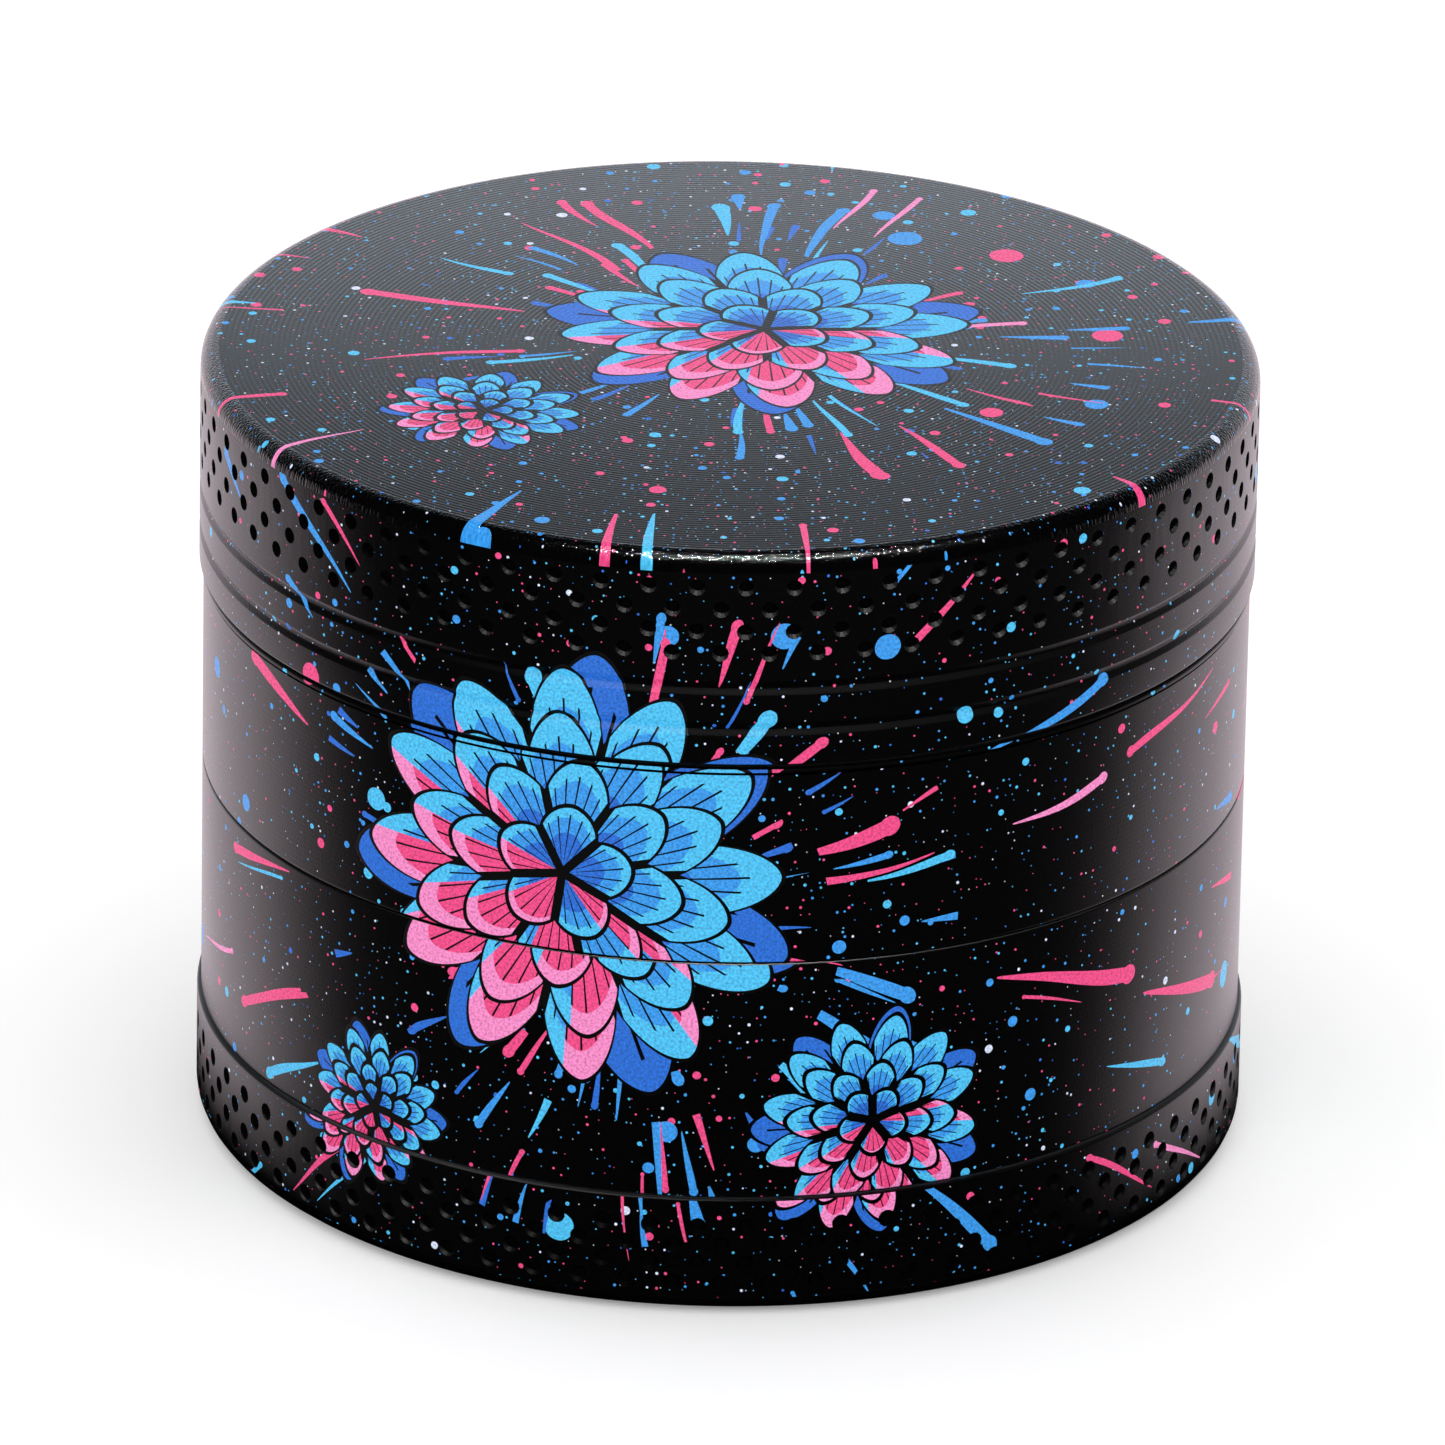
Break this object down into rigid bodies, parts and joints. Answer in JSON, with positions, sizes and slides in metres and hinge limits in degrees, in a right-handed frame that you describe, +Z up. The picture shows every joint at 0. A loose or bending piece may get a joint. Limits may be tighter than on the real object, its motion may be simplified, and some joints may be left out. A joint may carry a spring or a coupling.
{
  "type": "herb grinder",
  "caption": "Round metal hand grinder for dried herbs: a toothed magnetic lid turns on a toothed chamber that screws to a sieve ring and a shallow catcher.",
  "frame": {"origin": "centre of the catcher's underside, on the axis that every piece is turned about", "axes": "+Z up along that axis, -Y towards the viewer of the picture"},
  "size_m": [0.063, 0.063, 0.0484],
  "materials": {
    "coated_aluminium": "satin black coat with a colour print over it",
    "screen_steel": "woven wire",
    "clamp_steel": "turned steel",
    "magnet_nickel": "nickel plated",
    "slip_plastic": "natural acetal",
    "scraper_plastic": "moulded"
  },
  "bodies": {
    "catcher": {"catcher": "coated_aluminium"},
    "scraper": {"scraper": "scraper_plastic"},
    "clamp_ring": {"screen_clamp_ring": "clamp_steel"},
    "sieve": {"sieve_ring": "coated_aluminium", "screen": "screen_steel"},
    "chamber_core": {"chamber_magnet": "magnet_nickel"},
    "chamber": {"grinding_chamber": "coated_aluminium"},
    "slip_ring": {"slip_ring": "slip_plastic"},
    "lid": {"lid": "coated_aluminium", "lid_magnet": "magnet_nickel"}
  },
  "joints": [
    {"name": "sieve_rise", "type": "slide", "parent": "catcher", "child": "clamp_ring", "axis": [0, 0, 1], "range_m": [0, 0.00385]},
    {"name": "sieve_unscrew", "type": "hinge", "parent": "clamp_ring", "child": "sieve", "pos_m": [0, 0, 0], "axis": [0, 0, 1], "range_deg": [0, 864]},
    {"name": "chamber_rise", "type": "slide", "parent": "sieve", "child": "chamber_core", "axis": [0, 0, 1], "range_m": [0, 0.00385]},
    {"name": "chamber_unscrew", "type": "hinge", "parent": "chamber_core", "child": "chamber", "pos_m": [0, 0, 0], "axis": [0, 0, 1], "range_deg": [0, 864]},
    {"name": "lid_lift", "type": "slide", "parent": "chamber", "child": "slip_ring", "axis": [0, 0, 1], "range_m": [0, 0.03]},
    {"name": "lid_turn", "type": "hinge", "parent": "slip_ring", "child": "lid", "pos_m": [0, 0, 0], "axis": [0, 0, 1], "continuous": true},
    {"name": "scraper_lift", "type": "slide", "parent": "catcher", "child": "scraper", "axis": [0, 0, 1], "range_m": [0, 0.005]}
  ],
  "couplings": [
    {"joint": "sieve_rise", "follows": "sieve_unscrew", "m_per_rad": 0.00025465},
    {"joint": "chamber_rise", "follows": "chamber_unscrew", "m_per_rad": 0.00025465}
  ]
}
